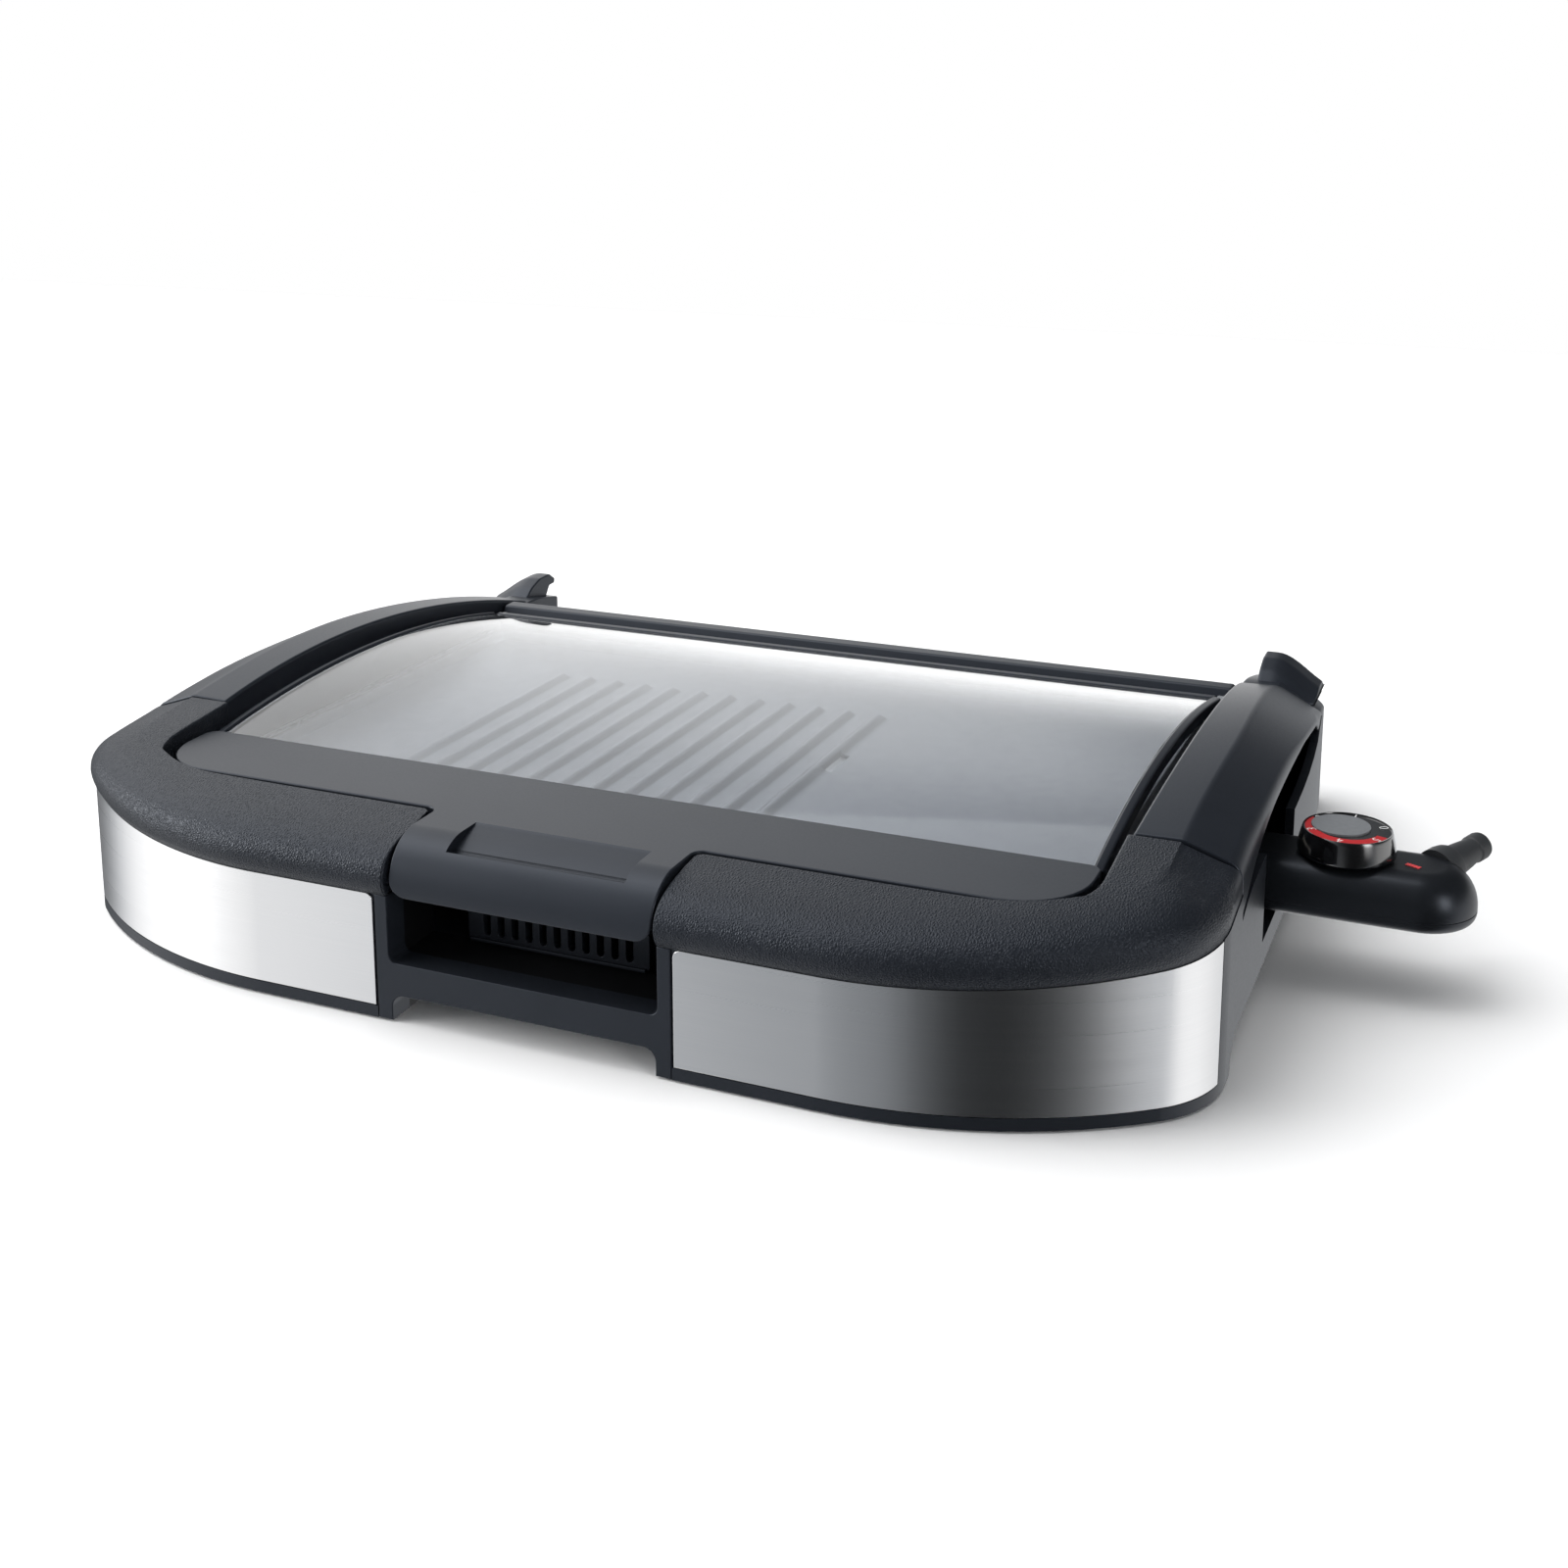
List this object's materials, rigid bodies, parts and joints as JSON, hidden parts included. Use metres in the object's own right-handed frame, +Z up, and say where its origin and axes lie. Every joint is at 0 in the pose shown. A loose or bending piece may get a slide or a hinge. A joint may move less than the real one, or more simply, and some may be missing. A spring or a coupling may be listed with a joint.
{
  "type": "electric griddle",
  "caption": "Table-top electric griddle with a hinged arched glass lid, ribbed plate, side handles, sliding drip tray and a plug-in thermostat controller with a knob.",
  "frame": {"origin": "centre of the footprint, on the surface that the griddle stands on", "axes": "+Z up, +X to the right towards the controller, -Y towards the user and the front of the drip tray"},
  "size_m": [0.6102, 0.4223, 0.095],
  "materials": {
    "satin_black": "smooth satin moulding",
    "grained_black": "leather-like moulded grain",
    "base_black": "fine matt texture",
    "controller_black": "soft matt",
    "brushed_trim": "fine lengthwise brushing",
    "coated_plate": "non-stick coated cast aluminium",
    "bare_aluminium": "bare sheet",
    "element_steel": "heat tinted tube",
    "bright_steel": "plated",
    "contact_brass": "bare",
    "ceramic": "unglazed ceramic",
    "rubber_black": "moulded",
    "silicone": "moulded",
    "lid_pane": "clear tempered",
    "red_lens": "polished",
    "lamp_glass": "clear",
    "gloss_black": "polished",
    "dial_red": "printed and lacquered",
    "disc_grey": "satin"
  },
  "bodies": {
    "base": {"base_shell": "base_black", "front_frame": "base_black", "bottom_plate": "bare_aluminium", "trim_left": "brushed_trim", "trim_right": "brushed_trim", "corner_cover_left": "grained_black", "corner_cover_right": "grained_black", "handle_left": "satin_black", "handle_right": "satin_black", "rear_post_left": "satin_black", "rear_post_right": "satin_black", "rear_rail": "satin_black", "rear_panel": "base_black", "inner_frame": "base_black", "heat_pan": "bare_aluminium", "grill_plate": "coated_plate", "plate_feet": "bare_aluminium", "heating_element": "element_steel", "element_clamps": "bare_aluminium", "terminal_block": "ceramic", "contact_pins": "bright_steel", "hinge_brackets": "bright_steel", "hinge_pins": "bright_steel", "tray_runners": "base_black", "foot_pads": "rubber_black", "base_screws": "bright_steel", "handle_screws": "bright_steel"},
    "tray": {"drip_tray": "base_black"},
    "lid": {"lid_front_strip": "satin_black", "lid_glass": "lid_pane", "lid_rear_bar": "satin_black", "lid_rail_left": "satin_black", "lid_rail_right": "satin_black", "lid_seal": "silicone", "lid_screws": "bright_steel"},
    "controller": {"controller_lower": "controller_black", "controller_upper": "controller_black", "strain_relief": "controller_black", "probe_rod": "element_steel", "contact_sleeves": "contact_brass", "sleeve_carrier": "base_black", "thermostat_switch": "ceramic", "indicator_lens": "red_lens", "indicator_lamp": "lamp_glass", "controller_screws": "bright_steel"},
    "dial": {"knob": "gloss_black", "knob_shaft": "bright_steel", "dial_ring": "dial_red", "knob_disc": "disc_grey"}
  },
  "joints": [
    {"name": "lid_hinge", "type": "hinge", "parent": "base", "child": "lid", "pos_m": [0, 0.128, 0.067], "axis": [-1, 0, 0], "range_deg": [0, 98]},
    {"name": "tray_slide", "type": "slide", "parent": "base", "child": "tray", "axis": [0, -1, 0], "range_m": [0, 0.24]},
    {"name": "controller_pull", "type": "slide", "parent": "base", "child": "controller", "axis": [1, 0, 0], "range_m": [0, 0.085]},
    {"name": "dial_turn", "type": "hinge", "parent": "controller", "child": "dial", "pos_m": [0.289, -0.015, 0.06], "axis": [0, 0, -1], "range_deg": [0, 270]}
  ]
}
